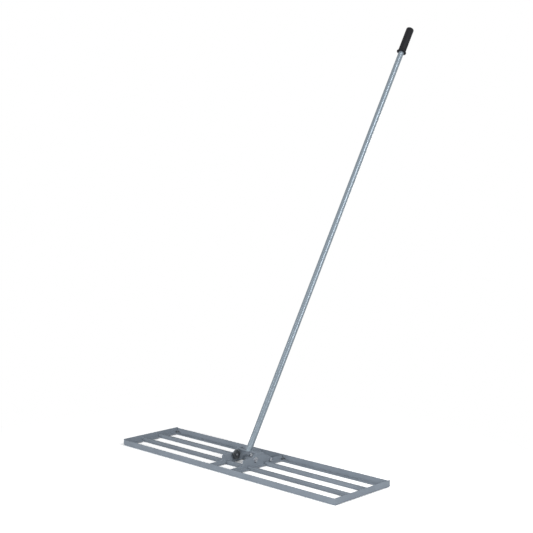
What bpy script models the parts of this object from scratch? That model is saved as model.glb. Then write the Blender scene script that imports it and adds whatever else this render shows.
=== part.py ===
"""Lawn leveling rake: a wide flat head of angle rails and square bars, two raised
brackets, and a long tube handle on a yoke that tilts and is clamped by a knob.

Units are metres, +Z is up, +X runs along the head and the handle leans back
toward +Y. The origin is on the ground, under the middle of the front rail's sole.
"""

import math

import bmesh
import bpy
from mathutils import Vector

# Fits between neighbouring pieces
SEAT_GAP = 0.0003
SLIDE_FIT = 0.00005
PIVOT_FIT = 0.00008
HOLE_FIT = 0.0002

# Head: outer size, its angle section and its bar section
HEAD_LENGTH = 1.2192
HEAD_DEPTH = 0.3048
ANGLE_LEG = 0.024
ANGLE_WALL = 0.003
ANGLE_ROOT_RADIUS = 0.002
BAR_SIZE = 0.015
BAR_WALL = 0.0015
BAR_SPREAD = 0.093
END_NOTCH_SIDE = 0.007

# Brackets: folded plates that cross the head and carry the handle
PLATE_WALL = 0.003
BRACKET_SPAN = 0.117
BRACKET_FLANGE = 0.0195
BRACKET_LOW_TOP = 0.021
BRACKET_NOSE_TOP = 0.0425
BRACKET_CREST = 0.0465
EAR_FRONT = -0.076
EAR_CREST_FRONT = -0.006
EAR_CREST_REAR = 0.028
EAR_SHOULDER = 0.054
EAR_SHOULDER_TOP = 0.0415
EAR_REAR = 0.087
EAR_NOSE_SLOPE = 0.014
BRACKET_NOTCH_SIDE = 0.0004
BRACKET_NOTCH_TOP = 0.0004

# Yoke: the tilting frame between the brackets, on a rear pivot and a front clamp
PIVOT_Y = 0.0766
PIVOT_Z = 0.0166
CLAMP_Y = -0.0058
CLAMP_Z = 0.0329
RAISE_LIMIT = math.radians(7.0)
LOWER_LIMIT = math.radians(3.0)
YOKE_MARGIN = 0.0125
YOKE_BOSS_REACH = 0.0105
YOKE_BOSS_DROP = 0.010
YOKE_BOSS_RISE = 0.008
YOKE_TOP = 0.0565
YOKE_TOP_FRONT_MARGIN = 0.0085
YOKE_TOP_REAR_MARGIN = 0.006
CROSS_BAR_DEPTH = 0.012
CROSS_BAR_HEIGHT = 0.006
CROSS_BAR_TOP = 0.0545
CROSS_BAR_FRONT = 0.0145
CROSS_BAR_EASE = 0.0008

# Handle: two tubes on one leaning axis, with a grip on the upper one
HANDLE_FOOT_Y = 0.0148
HANDLE_LEAN = math.atan(0.597)
HANDLE_LENGTH = 2.0914
LOWER_TUBE_LENGTH = 0.9664
TUBE_DIAMETER = 0.0254
TUBE_WALL = 0.0012
SLEEVE_LENGTH = 0.120
SLEEVE_WALL = 0.0015
GRIP_LENGTH = 0.134
GRIP_DIAMETER = 0.0355
GRIP_FLANGE_DIAMETER = 0.045
GRIP_FLANGE_THICKNESS = 0.004
GRIP_FLANGE_EASE = 0.001
GRIP_FILLET = 0.004
GRIP_END_WALL = 0.0035
GRIP_END_RADIUS = 0.006

# Fasteners
FLANGE_BOLT_RADIUS = 0.003
FLANGE_BOLT_HEAD_RADIUS = 0.0058
FLANGE_BOLT_RECESS = 0.0002
FLANGE_NUT_WIDTH = 0.010
FLANGE_NUT_HEIGHT = 0.005
THREAD_END = 0.0015
CLAMP_BOLT_RADIUS = 0.004
HEX_WIDTH = 0.013
HEX_HEAD_HEIGHT = 0.0053
HEX_NUT_HEIGHT = 0.0065
WASHER_RADIUS = 0.0095
WASHER_THICKNESS = 0.0016
KNOB_RADIUS = 0.0205
KNOB_LOBE_DEPTH = 0.0035
KNOB_LOBES = 5
KNOB_THICKNESS = 0.0100
KNOB_EASE = 0.0018
JOINT_SCREW_RADIUS = 0.0025
JOINT_SCREW_HEAD_RADIUS = 0.0045
JOINT_SCREW_HEAD_HEIGHT = 0.0022
JOINT_SCREW_OFFSET = 0.030

# Smoothness of round pieces
TUBE_SIDES = 40
BOLT_SIDES = 32
FLANGE_BOLT_SIDES = 20
KNOB_STEPS_PER_LOBE = 10
ARC_STEP = math.radians(18.0)

# Places that follow from the sizes above, from the middle of the head
HALF_LENGTH = HEAD_LENGTH / 2
HALF_DEPTH = HEAD_DEPTH / 2
HEAD_CENTRE_Y = HALF_DEPTH - ANGLE_LEG / 2
DECK = ANGLE_WALL + SEAT_GAP
RAIL_INNER_Y = HALF_DEPTH - ANGLE_WALL - ANGLE_ROOT_RADIUS - SEAT_GAP
BRACKET_OUTER = BRACKET_SPAN / 2 + PLATE_WALL
YOKE_OUTER = BRACKET_SPAN / 2 - SEAT_GAP
YOKE_INNER = YOKE_OUTER - PLATE_WALL
FLANGE_BOLT_Y = HALF_DEPTH - (ANGLE_LEG + ANGLE_WALL) / 2
CORNER_BOLT_X = HALF_LENGTH - (ANGLE_LEG + ANGLE_WALL) / 2
BRACKET_BOLT_X = BRACKET_SPAN / 2 + (BRACKET_FLANGE + 2 * PLATE_WALL) / 2
CLAMP_RADIUS = math.hypot(PIVOT_Y - CLAMP_Y, CLAMP_Z - PIVOT_Z)
CLAMP_ANGLE = math.atan2(CLAMP_Z - PIVOT_Z, PIVOT_Y - CLAMP_Y)
TUBE_RADIUS = TUBE_DIAMETER / 2
TUBE_BORE = TUBE_RADIUS - TUBE_WALL

# Turns for outlines and bolts: an outline drawn in X and Y stands in Y and Z
FACING_RIGHT = (math.pi / 2, 0.0, math.pi / 2)
FACING_LEFT = (math.pi / 2, 0.0, -math.pi / 2)
FACING_FRONT = (math.pi / 2, 0.0, 0.0)

SIDES = (("left", -1), ("right", 1))
ENDS = (("front", -1), ("rear", 1))


def clear_scene():
    """Remove every object, so that the file holds the rake alone."""
    for item in list(bpy.data.objects):
        bpy.data.objects.remove(item, do_unlink=True)


def new_collection(name):
    collection = bpy.data.collections.new(name)
    bpy.context.scene.collection.children.link(collection)
    return collection


def new_material(name, colour, metallic, roughness):
    material = bpy.data.materials.new(name)
    material.use_nodes = True
    shader = material.node_tree.nodes["Principled BSDF"]
    shader.inputs["Base Color"].default_value = (*colour, 1.0)
    shader.inputs["Metallic"].default_value = metallic
    shader.inputs["Roughness"].default_value = roughness
    material.diffuse_color = (*colour, 1.0)
    return material


clear_scene()
PARTS = new_collection("lawn_leveling_rake")
CUTTERS = new_collection("cutters")
COATED_STEEL = new_material("coated_steel", (0.270, 0.315, 0.355), 0.35, 0.42)
COATED_TUBE = new_material("coated_tube", (0.380, 0.440, 0.480), 0.45, 0.30)
ZINC = new_material("zinc_plate", (0.560, 0.590, 0.620), 1.0, 0.28)
GRIP_RUBBER = new_material("grip_rubber", (0.018, 0.018, 0.020), 0.0, 0.62)
KNOB_PLASTIC = new_material("knob_plastic", (0.022, 0.024, 0.026), 0.0, 0.45)


def add_empty(name, parent, location, rotation=(0.0, 0.0, 0.0)):
    empty = bpy.data.objects.new(name, None)
    PARTS.objects.link(empty)
    empty.parent = parent
    empty.location = location
    empty.rotation_euler = rotation
    empty.empty_display_size = 0.02
    return empty


def add_part(name, mesh, material, parent, location=(0.0, 0.0, 0.0), rotation=(0.0, 0.0, 0.0)):
    """Place a mesh as a named piece with its own copy of a material."""
    part = bpy.data.objects.new(name, mesh)
    PARTS.objects.link(part)
    own_material = material.copy()
    own_material.name = name + "_" + material.name
    mesh.materials.append(own_material)
    part.parent = parent
    part.location = location
    part.rotation_euler = rotation
    return part


def add_cutter(name, mesh, parent, location, rotation=(0.0, 0.0, 0.0)):
    cutter = bpy.data.objects.new(name, mesh)
    CUTTERS.objects.link(cutter)
    cutter.parent = parent
    cutter.location = location
    cutter.rotation_euler = rotation
    cutter.hide_render = True
    cutter.display_type = "WIRE"
    return cutter


def combine(part, tool, operation):
    """Leave a Boolean on the part: DIFFERENCE, UNION or INTERSECT with the tool."""
    modifier = part.modifiers.new(operation.lower() + "_" + tool.name, "BOOLEAN")
    modifier.operation = operation
    modifier.solver = "EXACT"
    modifier.object = tool


def smooth_round_faces(mesh):
    mesh.shade_smooth()
    mesh.set_sharp_from_angle(angle=math.radians(35.0))


def rounded_outline(corners):
    """Turn corners (x, y, radius) into points, with each corner's radius as an arc."""
    points = []
    count = len(corners)
    for index, (x, y, radius) in enumerate(corners):
        here = Vector((x, y))
        if radius == 0.0:
            points.append((x, y))
            continue
        back = (Vector(corners[index - 1][:2]) - here).normalized()
        ahead = (Vector(corners[(index + 1) % count][:2]) - here).normalized()
        half_angle = back.angle(ahead) / 2
        centre = here + (back + ahead).normalized() * (radius / math.sin(half_angle))
        start = here + back * (radius / math.tan(half_angle)) - centre
        end = here + ahead * (radius / math.tan(half_angle)) - centre
        turn = start.angle_signed(end)
        steps = max(1, math.ceil(abs(turn) / ARC_STEP))
        first = math.atan2(start.y, start.x)
        for step in range(steps + 1):
            angle = first - turn * step / steps
            points.append((centre.x + radius * math.cos(angle), centre.y + radius * math.sin(angle)))
    return points


def flat_mesh(name, outline, thickness):
    """Extrude a flat outline to a closed slab, half its thickness each way."""
    curve = bpy.data.curves.new(name, "CURVE")
    curve.dimensions = "2D"
    curve.fill_mode = "BOTH"
    curve.extrude = thickness / 2
    spline = curve.splines.new("POLY")
    spline.points.add(len(outline) - 1)
    for point, (x, y) in zip(spline.points, outline):
        point.co = (x, y, 0.0, 1.0)
    spline.use_cyclic_u = True
    spline.use_smooth = False
    holder = bpy.data.objects.new(name, curve)
    PARTS.objects.link(holder)
    evaluated = holder.evaluated_get(bpy.context.evaluated_depsgraph_get())
    mesh = bpy.data.meshes.new_from_object(evaluated)
    bpy.data.objects.remove(holder, do_unlink=True)
    mesh.name = name
    work = bmesh.new()
    work.from_mesh(mesh)
    bmesh.ops.remove_doubles(work, verts=work.verts, dist=0.00001)
    bmesh.ops.recalc_face_normals(work, faces=work.faces)
    work.to_mesh(mesh)
    work.free()
    return mesh


def box_mesh(name, size):
    mesh = bpy.data.meshes.new(name)
    work = bmesh.new()
    bmesh.ops.create_cube(work, size=1.0)
    bmesh.ops.scale(work, vec=size, verts=work.verts)
    work.to_mesh(mesh)
    work.free()
    return mesh


def cylinder_mesh(name, radius, length, sides):
    """A closed cylinder along Z, standing on z = 0."""
    mesh = bpy.data.meshes.new(name)
    work = bmesh.new()
    bmesh.ops.create_cone(work, cap_ends=True, segments=sides, radius1=radius, radius2=radius, depth=length)
    bmesh.ops.translate(work, vec=(0.0, 0.0, length / 2), verts=work.verts)
    work.to_mesh(mesh)
    work.free()
    smooth_round_faces(mesh)
    return mesh


def profile_mesh(name, points, closed):
    """A profile of edges in X and Z, to be turned round Z."""
    mesh = bpy.data.meshes.new(name)
    edges = [(index, index + 1) for index in range(len(points) - 1)]
    if closed:
        edges.append((len(points) - 1, 0))
    mesh.from_pydata([(radius, 0.0, height) for radius, height in points], edges, [])
    return mesh


def turn_profile(part, sides):
    screw = part.modifiers.new("turn", "SCREW")
    screw.angle = 2 * math.pi
    screw.steps = sides
    screw.render_steps = sides
    screw.use_merge_vertices = True
    screw.merge_threshold = 0.00001
    screw.use_smooth_shade = True


def tube_profile(outer, inner, bottom, top):
    return [(outer, top), (outer, bottom), (inner, bottom), (inner, top)]


def angle_section(width, height, wall, root):
    """An L with its corner at the origin, one leg along +X and one up +Y."""
    corners = [
        (0.0, 0.0, wall / 3),
        (width, 0.0, 0.0),
        (width, wall, wall / 3),
        (wall, wall, root),
        (wall, height, wall / 3),
        (0.0, height, 0.0),
    ]
    return rounded_outline(corners)


def hex_mesh(name, width, height):
    return cylinder_mesh(name, width / math.sqrt(3), height, 6)


def add_bored_hex(name, width, height, bore, sides, parent, height_on_axis):
    """A plain nut, its bore a thread's clearance wider than the bolt."""
    nut = add_part(name, hex_mesh(name, width, height), ZINC, parent, (0.0, 0.0, height_on_axis))
    overrun = 0.001
    bore_mesh = cylinder_mesh(name + "_bore", bore, height + 2 * overrun, sides)
    cutter = add_cutter(name + "_bore", bore_mesh, parent, (0.0, 0.0, height_on_axis - overrun))
    combine(nut, cutter, "DIFFERENCE")


def bar_middle(end):
    """Y of an inner bar's middle: the front bar is -1 and the rear bar is 1."""
    return end * BAR_SPREAD / 2


def drill(part, name, radius, parent, location, rotation, depth, sides=BOLT_SIDES):
    """Cut a round hole along the local Z of the given place, through both faces."""
    mesh = cylinder_mesh(name, radius, depth, sides)
    combine(part, add_cutter(name, mesh, parent, location, rotation), "DIFFERENCE")


def drill_flange_hole(part, name, head, location):
    """The hole of one of the eight flange bolts, upward from the given place."""
    radius = FLANGE_BOLT_RADIUS + HOLE_FIT
    depth = 3 * ANGLE_WALL
    drill(part, name, radius, head, location, (0.0, 0.0, 0.0), depth, FLANGE_BOLT_SIDES)


def countersink_mesh(name, head_radius, shank_radius, depth):
    """The hole of a sunk bolt: a cone from below that ends in the shank's hole."""
    mesh = bpy.data.meshes.new(name)
    work = bmesh.new()
    overrun = 0.001
    bmesh.ops.create_cone(
        work,
        cap_ends=True,
        segments=FLANGE_BOLT_SIDES,
        radius1=head_radius + overrun,
        radius2=shank_radius,
        depth=depth + overrun,
    )
    bmesh.ops.translate(work, vec=(0.0, 0.0, (depth - overrun) / 2), verts=work.verts)
    work.to_mesh(mesh)
    work.free()
    return mesh


def build_rails(head):
    """Front and rear rails: angles with the upright leg outside and the sole inward."""
    length = HEAD_LENGTH - 2 * (ANGLE_WALL + SEAT_GAP)
    section = angle_section(ANGLE_LEG, ANGLE_LEG, ANGLE_WALL, ANGLE_ROOT_RADIUS)
    for end_name, end in ENDS:
        name = end_name + "_rail"
        outline = [(-end * (x - HALF_DEPTH), y) for x, y in section]
        rail = add_part(name, flat_mesh(name, outline, length), COATED_STEEL, head, (0.0, 0.0, 0.0), FACING_RIGHT)
        for side_name, side in SIDES:
            for place, x in (("corner", CORNER_BOLT_X), ("bracket", BRACKET_BOLT_X)):
                hole_name = "_".join((name, side_name, place, "hole"))
                spot = (side * x, end * FLANGE_BOLT_Y, 0.0)
                sunk = countersink_mesh(
                    hole_name,
                    FLANGE_BOLT_HEAD_RADIUS + HOLE_FIT,
                    FLANGE_BOLT_RADIUS + HOLE_FIT,
                    FLANGE_BOLT_HEAD_RADIUS - FLANGE_BOLT_RADIUS,
                )
                combine(rail, add_cutter(hole_name + "_sink", sunk, head, spot), "DIFFERENCE")
                drill_flange_hole(rail, hole_name, head, spot)


def build_ends(head):
    """End pieces: the same angle on the rails' soles, coped at the rails' uprights."""
    section = angle_section(ANGLE_LEG, ANGLE_LEG, ANGLE_WALL, ANGLE_ROOT_RADIUS)
    for side_name, side in SIDES:
        name = side_name + "_end"
        outline = [(-side * (x - HALF_LENGTH), y) for x, y in section]
        piece = add_part(name, flat_mesh(name, outline, HEAD_DEPTH), COATED_STEEL, head, (0.0, 0.0, DECK), FACING_FRONT)
        for end_name, end in ENDS:
            cope_name = name + "_" + end_name + "_cope"
            cope_size = (2 * (ANGLE_LEG - ANGLE_WALL), 2 * (HALF_DEPTH - RAIL_INNER_Y), ANGLE_LEG * 3)
            corner = (side * (HALF_LENGTH - ANGLE_LEG), end * HALF_DEPTH, DECK)
            combine(piece, add_cutter(cope_name, box_mesh(cope_name, cope_size), head, corner), "DIFFERENCE")
            hole_name = name + "_" + end_name + "_hole"
            spot = (side * CORNER_BOLT_X, end * FLANGE_BOLT_Y, DECK - ANGLE_WALL)
            drill_flange_hole(piece, hole_name, head, spot)
            notch_length = ANGLE_LEG - ANGLE_WALL - ANGLE_ROOT_RADIUS
            notch_name = name + "_" + end_name + "_notch"
            size = (2 * notch_length, BAR_SIZE + 2 * END_NOTCH_SIDE, ANGLE_WALL * 3)
            middle = (side * (HALF_LENGTH - ANGLE_LEG), bar_middle(end), DECK)
            combine(piece, add_cutter(notch_name, box_mesh(notch_name, size), head, middle), "DIFFERENCE")


def build_inner_bars(head):
    """Two square tubes between the rails, welded end to end between the end pieces."""
    length = HEAD_LENGTH - 2 * (ANGLE_WALL + ANGLE_ROOT_RADIUS + SEAT_GAP)
    half = BAR_SIZE / 2
    hollow = half - BAR_WALL
    for end_name, end in ENDS:
        name = end_name + "_inner_bar"
        outer = [(-half, -half, BAR_WALL), (half, -half, BAR_WALL), (half, half, BAR_WALL), (-half, half, BAR_WALL)]
        inner = [(-hollow, -hollow), (hollow, -hollow), (hollow, hollow), (-hollow, hollow)]
        middle = (0.0, bar_middle(end), half)
        bar = add_part(name, flat_mesh(name, rounded_outline(outer), length), COATED_STEEL, head, middle, FACING_RIGHT)
        core_name = name + "_hollow"
        core = add_cutter(core_name, flat_mesh(core_name, inner, length * 1.1), head, middle, FACING_RIGHT)
        combine(bar, core, "DIFFERENCE")


def bracket_outline(reach):
    """Side view of a bracket from rail to rail, with the raised ear in the middle.

    Each corner is its place and its rounding."""
    return rounded_outline([
        (-reach, DECK - PLATE_WALL, 0.0),
        (reach, DECK - PLATE_WALL, 0.0),
        (reach, BRACKET_LOW_TOP, 0.002),
        (EAR_REAR, BRACKET_LOW_TOP, 0.004),
        (EAR_SHOULDER, EAR_SHOULDER_TOP, 0.012),
        (EAR_CREST_REAR, BRACKET_CREST, 0.020),
        (EAR_CREST_FRONT, BRACKET_CREST, 0.004),
        (EAR_CREST_FRONT - EAR_NOSE_SLOPE, BRACKET_NOSE_TOP, 0.006),
        (EAR_FRONT, BRACKET_NOSE_TOP, 0.006),
        (EAR_FRONT, BRACKET_LOW_TOP, 0.003),
        (-reach, BRACKET_LOW_TOP, 0.002),
    ])


def arc_slot_outline(radius, half_width, first, last):
    """A curved slot round the pivot, its angles rising from the forward direction."""
    steps = 6
    points = []
    for arm in (radius + half_width, radius - half_width):
        for step in range(steps + 1):
            angle = first + (last - first) * step / steps
            points.append((-arm * math.cos(angle), arm * math.sin(angle)))
        for step in range(1, steps):
            turn = last + math.pi * step / steps
            points.append((
                -radius * math.cos(last) - half_width * math.cos(turn),
                radius * math.sin(last) + half_width * math.sin(turn),
            ))
        first, last = last, first
        half_width = -half_width
    return points


def build_brackets(head, pivot):
    """Left and right brackets: plate folded outward at the foot, slotted for the clamp."""
    reach = RAIL_INNER_Y
    height = BRACKET_CREST - DECK + 0.001
    section = angle_section(BRACKET_FLANGE, height, PLATE_WALL, PLATE_WALL)
    outline = bracket_outline(reach)
    slot_margin = SEAT_GAP / CLAMP_RADIUS
    slot = arc_slot_outline(
        CLAMP_RADIUS,
        CLAMP_BOLT_RADIUS + SEAT_GAP,
        CLAMP_ANGLE - RAISE_LIMIT - slot_margin,
        CLAMP_ANGLE + LOWER_LIMIT + slot_margin,
    )
    wide = 3 * BRACKET_FLANGE
    for side_name, side in SIDES:
        name = side_name + "_bracket"
        turned = [(side * (x + BRACKET_SPAN / 2), y) for x, y in section]
        bracket = add_part(name, flat_mesh(name, turned, 2 * reach), COATED_STEEL, head, (0.0, 0.0, DECK), FACING_FRONT)
        middle = (side * BRACKET_OUTER, 0.0, 0.0)
        blank = add_cutter(name + "_blank", flat_mesh(name + "_blank", outline, wide), head, middle, FACING_RIGHT)
        combine(bracket, blank, "INTERSECT")
        for end_name, end in ENDS:
            notch_name = name + "_" + end_name + "_notch"
            size = (wide, BAR_SIZE + 2 * BRACKET_NOTCH_SIDE, 2 * (BAR_SIZE + BRACKET_NOTCH_TOP))
            spot = (side * BRACKET_OUTER, bar_middle(end), 0.0)
            combine(bracket, add_cutter(notch_name, box_mesh(notch_name, size), head, spot), "DIFFERENCE")
            hole_spot = (side * BRACKET_BOLT_X, end * FLANGE_BOLT_Y, DECK - PLATE_WALL)
            hole_name = name + "_" + end_name + "_hole"
            drill_flange_hole(bracket, hole_name, head, hole_spot)
        slot_mesh = flat_mesh(name + "_slot", slot, PLATE_WALL * 4)
        slot_cutter = add_cutter(name + "_slot", slot_mesh, pivot, middle, FACING_RIGHT)
        combine(bracket, slot_cutter, "DIFFERENCE")
        pivot_hole_x = side * BRACKET_OUTER - PLATE_WALL * 2
        drill(
            bracket,
            name + "_pivot_hole",
            CLAMP_BOLT_RADIUS + PIVOT_FIT,
            pivot,
            (pivot_hole_x, 0.0, 0.0),
            FACING_RIGHT,
            PLATE_WALL * 4,
        )


def build_flange_bolts(head):
    """Eight sunk bolts with nuts hold the end pieces and brackets down on the rails."""
    head_top = FLANGE_BOLT_RECESS + FLANGE_BOLT_HEAD_RADIUS - FLANGE_BOLT_RADIUS
    nut_seat = DECK + ANGLE_WALL + SEAT_GAP
    top = nut_seat + FLANGE_NUT_HEIGHT + THREAD_END
    profile = [
        (0.0, top),
        (FLANGE_BOLT_RADIUS, top),
        (FLANGE_BOLT_RADIUS, head_top),
        (FLANGE_BOLT_HEAD_RADIUS, FLANGE_BOLT_RECESS),
        (0.0, FLANGE_BOLT_RECESS),
    ]
    for place, x in (("corner", CORNER_BOLT_X), ("bracket", BRACKET_BOLT_X)):
        for side_name, side in SIDES:
            for end_name, end in ENDS:
                label = "_".join((end_name, side_name, place))
                axis = add_empty(label + "_bolt_axis", head, (side * x, end * FLANGE_BOLT_Y, 0.0))
                name = label + "_bolt"
                bolt = add_part(name, profile_mesh(name, profile, False), ZINC, axis)
                turn_profile(bolt, FLANGE_BOLT_SIDES)
                add_bored_hex(
                    label + "_nut",
                    FLANGE_NUT_WIDTH,
                    FLANGE_NUT_HEIGHT,
                    FLANGE_BOLT_RADIUS + SLIDE_FIT,
                    FLANGE_BOLT_SIDES,
                    axis,
                    nut_seat,
                )


def yoke_outline():
    """Side view of a yoke plate, from the pivot boss over the rear bar to the clamp."""
    bar_rear = bar_middle(1) + BAR_SIZE / 2
    sweep = (PIVOT_Y - bar_middle(1) + BAR_SIZE / 2) * math.sin(RAISE_LIMIT)
    arch = BAR_SIZE + sweep + SEAT_GAP
    return rounded_outline([
        (CLAMP_Y - YOKE_MARGIN, arch, 0.010),
        (bar_rear + 0.005, arch, 0.006),
        (PIVOT_Y - YOKE_BOSS_REACH, PIVOT_Z - YOKE_BOSS_DROP, 0.007),
        (PIVOT_Y + YOKE_BOSS_REACH, PIVOT_Z - YOKE_BOSS_DROP, 0.009),
        (PIVOT_Y + YOKE_BOSS_REACH, PIVOT_Z + YOKE_BOSS_RISE, 0.007),
        (EAR_SHOULDER, EAR_SHOULDER_TOP, 0.012),
        (CROSS_BAR_FRONT + CROSS_BAR_DEPTH + YOKE_TOP_REAR_MARGIN, YOKE_TOP, 0.008),
        (CROSS_BAR_FRONT - YOKE_TOP_FRONT_MARGIN, YOKE_TOP, 0.006),
        (CLAMP_Y - YOKE_MARGIN, CLAMP_Z + YOKE_MARGIN, 0.010),
    ])


def build_yoke(pivot):
    """Two yoke plates inside the brackets, with the cross bar welded between them."""
    outline = [(y - PIVOT_Y, z - PIVOT_Z) for y, z in yoke_outline()]
    for side_name, side in SIDES:
        name = side_name + "_yoke_plate"
        middle = (side * (YOKE_INNER + PLATE_WALL / 2), 0.0, 0.0)
        plate = add_part(name, flat_mesh(name, outline, PLATE_WALL), COATED_STEEL, pivot, middle, FACING_RIGHT)
        start = side * (YOKE_INNER + PLATE_WALL / 2) - PLATE_WALL
        for hole_name, radius, y, z in (
            ("_pivot_hole", CLAMP_BOLT_RADIUS + PIVOT_FIT, 0.0, 0.0),
            ("_clamp_hole", CLAMP_BOLT_RADIUS + HOLE_FIT, CLAMP_Y - PIVOT_Y, CLAMP_Z - PIVOT_Z),
        ):
            drill(plate, name + hole_name, radius, pivot, (start, y, z), FACING_RIGHT, PLATE_WALL * 2)
    size = (2 * (YOKE_INNER - SEAT_GAP), CROSS_BAR_DEPTH, CROSS_BAR_HEIGHT)
    middle_y = CROSS_BAR_FRONT + CROSS_BAR_DEPTH / 2
    spot = (0.0, middle_y - PIVOT_Y, CROSS_BAR_TOP - CROSS_BAR_HEIGHT / 2 - PIVOT_Z)
    bar = add_part("cross_bar", box_mesh("cross_bar", size), COATED_STEEL, pivot, spot)
    bevel = bar.modifiers.new("eased_edges", "BEVEL")
    bevel.width = CROSS_BAR_EASE
    bevel.segments = 2
    bevel.limit_method = "ANGLE"


def build_hex_bolt(name, parent, head_seat, inner_end):
    """A hex bolt along the parent's Z: head outside, shank running inward."""
    bolt = add_part(name, hex_mesh(name, HEX_WIDTH, HEX_HEAD_HEIGHT), ZINC, parent, (0.0, 0.0, head_seat))
    overlap = 0.001
    shank_mesh = cylinder_mesh(name + "_shank", CLAMP_BOLT_RADIUS, head_seat + overlap - inner_end, BOLT_SIDES)
    shank = add_cutter(name + "_shank", shank_mesh, parent, (0.0, 0.0, inner_end))
    combine(bolt, shank, "UNION")


def build_washer(name, parent, height_on_axis):
    inner = CLAMP_BOLT_RADIUS + HOLE_FIT
    profile = tube_profile(WASHER_RADIUS, inner, 0.0, WASHER_THICKNESS)
    washer = add_part(name, profile_mesh(name, profile, True), ZINC, parent, (0.0, 0.0, height_on_axis))
    turn_profile(washer, BOLT_SIDES)


def knob_outline():
    """A star of shallow lobes: the radius swings once for each lobe, one lobe up."""
    points = []
    steps = KNOB_LOBES * KNOB_STEPS_PER_LOBE
    middle = KNOB_RADIUS - KNOB_LOBE_DEPTH / 2
    for step in range(steps):
        angle = 2 * math.pi * step / steps
        swing = math.cos(KNOB_LOBES * (angle - math.pi / 2))
        radius = middle + KNOB_LOBE_DEPTH / 2 * swing
        points.append((radius * math.cos(angle), radius * math.sin(angle)))
    return points


def build_knob(parent, seat):
    """The clamp knob on the left bolt, inside the yoke: a star handle with a bore."""
    name = "clamp_knob"
    spot = (0.0, 0.0, seat - KNOB_THICKNESS / 2)
    mesh = flat_mesh(name, knob_outline(), KNOB_THICKNESS)
    smooth_round_faces(mesh)
    knob = add_part(name, mesh, KNOB_PLASTIC, parent, spot)
    bevel = knob.modifiers.new("eased_edges", "BEVEL")
    bevel.width = KNOB_EASE
    bevel.segments = 2
    bevel.limit_method = "ANGLE"
    bevel.angle_limit = math.radians(50.0)
    depth = KNOB_THICKNESS * 2
    start = (0.0, 0.0, seat - KNOB_THICKNESS * 1.5)
    drill(knob, name + "_bore", CLAMP_BOLT_RADIUS + PIVOT_FIT, parent, start, (0.0, 0.0, 0.0), depth)


def build_clamps(head, pivot):
    """Pivot and clamp bolts on both sides, with nuts, washers and the one knob."""
    head_seat = BRACKET_OUTER + SEAT_GAP
    inner_seat = YOKE_INNER - SEAT_GAP
    nut_base = inner_seat - HEX_NUT_HEIGHT
    inner_end = nut_base - THREAD_END
    thread = CLAMP_BOLT_RADIUS + SLIDE_FIT
    clamp_spot = (0.0, CLAMP_Y - PIVOT_Y, CLAMP_Z - PIVOT_Z)
    turns = {"left": FACING_LEFT, "right": FACING_RIGHT}
    for side_name, side in SIDES:
        pivot_axis = add_empty(side_name + "_pivot_axis", head, (0.0, PIVOT_Y, PIVOT_Z), turns[side_name])
        build_hex_bolt(side_name + "_pivot_bolt", pivot_axis, head_seat, inner_end)
        name = side_name + "_pivot_nut"
        add_bored_hex(name, HEX_WIDTH, HEX_NUT_HEIGHT, thread, BOLT_SIDES, pivot_axis, nut_base)
        clamp_axis = add_empty(side_name + "_clamp_axis", pivot, clamp_spot, turns[side_name])
        build_washer(side_name + "_clamp_washer", clamp_axis, head_seat)
        bolt_seat = head_seat + WASHER_THICKNESS + SEAT_GAP
        if side_name == "left":
            bolt_end = inner_seat - KNOB_THICKNESS - THREAD_END
            build_knob(clamp_axis, inner_seat)
        else:
            bolt_end = inner_end
            name = "right_clamp_nut"
            add_bored_hex(name, HEX_WIDTH, HEX_NUT_HEIGHT, thread, BOLT_SIDES, clamp_axis, nut_base)
        build_hex_bolt(side_name + "_clamp_bolt", clamp_axis, bolt_seat, bolt_end)


def build_tubes(pivot, axis):
    """Lower tube mitred onto the cross bar, upper tube, and the sleeve inside both."""
    below = TUBE_DIAMETER
    grip_floor = HANDLE_LENGTH - GRIP_END_WALL - SEAT_GAP
    stretches = (
        ("lower_tube", TUBE_RADIUS, TUBE_BORE, -below, LOWER_TUBE_LENGTH),
        ("upper_tube", TUBE_RADIUS, TUBE_BORE, LOWER_TUBE_LENGTH + SEAT_GAP, grip_floor),
        (
            "joint_sleeve",
            TUBE_BORE - SLIDE_FIT,
            TUBE_BORE - SLIDE_FIT - SLEEVE_WALL,
            LOWER_TUBE_LENGTH - SLEEVE_LENGTH / 2,
            LOWER_TUBE_LENGTH + SLEEVE_LENGTH / 2,
        ),
    )
    tubes = {}
    for name, outer, inner, bottom, top in stretches:
        profile = tube_profile(outer, inner, bottom, top)
        tubes[name] = add_part(name, profile_mesh(name, profile, True), COATED_TUBE, axis)
        turn_profile(tubes[name], TUBE_SIDES)
    block = 4 * TUBE_DIAMETER
    foot = (0.0, HANDLE_FOOT_Y - PIVOT_Y, CROSS_BAR_TOP + SEAT_GAP - block / 2 - PIVOT_Z)
    mitre = add_cutter("foot_mitre", box_mesh("foot_mitre", (block, block, block)), pivot, foot)
    combine(tubes["lower_tube"], mitre, "DIFFERENCE")
    return tubes


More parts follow.
